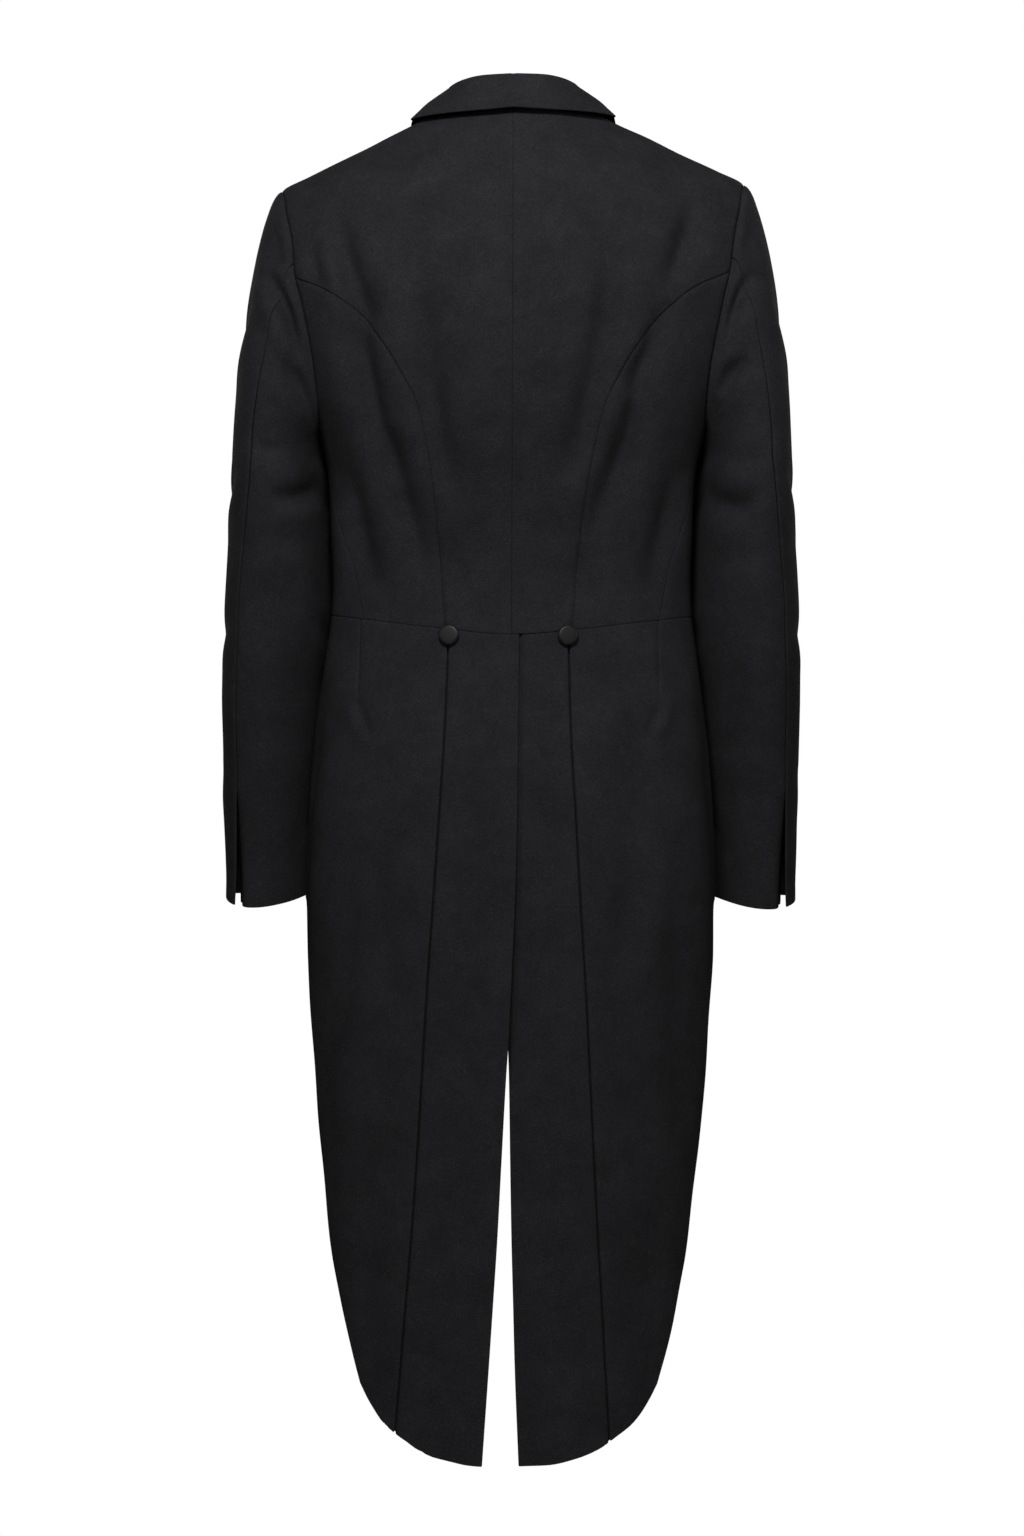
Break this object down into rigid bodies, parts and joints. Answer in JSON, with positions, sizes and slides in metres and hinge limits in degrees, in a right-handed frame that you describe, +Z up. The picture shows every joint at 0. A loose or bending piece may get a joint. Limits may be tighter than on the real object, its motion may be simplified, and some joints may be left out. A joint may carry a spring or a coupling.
{
  "type": "tuxedo tailcoat",
  "caption": "Black evening tailcoat in its worn, hollow shape: folded collar, peaked lapels, princess-seamed back, two-piece sleeves and split tails.",
  "frame": {"origin": "middle of the neck opening, level with the shoulders that carry the coat, in the plane that parts front from back", "axes": "+Z up along the hanging cloth; -Y out of the coat's front and +Y out of its back; +X towards the wearer's left sleeve"},
  "size_m": [0.5088, 0.2454, 1.2064],
  "materials": {
    "black_wool": "fine milled wool, matt with a faint nap",
    "black_satin": "ribbed silk with a soft shine",
    "covered_button": "cloth-covered button with a smooth bright rim"
  },
  "bodies": {
    "root": {"back_left": "black_wool", "back_right": "black_wool", "side_back_left": "black_wool", "side_back_right": "black_wool", "front_left": "black_wool", "front_right": "black_wool", "tail_centre_left": "black_wool", "tail_centre_right": "black_wool", "tail_side_left": "black_wool", "tail_side_right": "black_wool", "top_sleeve_left": "black_wool", "top_sleeve_right": "black_wool", "under_sleeve_left": "black_wool", "under_sleeve_right": "black_wool", "collar": "black_wool", "lapel_left": "black_satin", "lapel_right": "black_satin", "waist_button_left": "covered_button", "waist_button_right": "covered_button"}
  },
  "joints": []
}
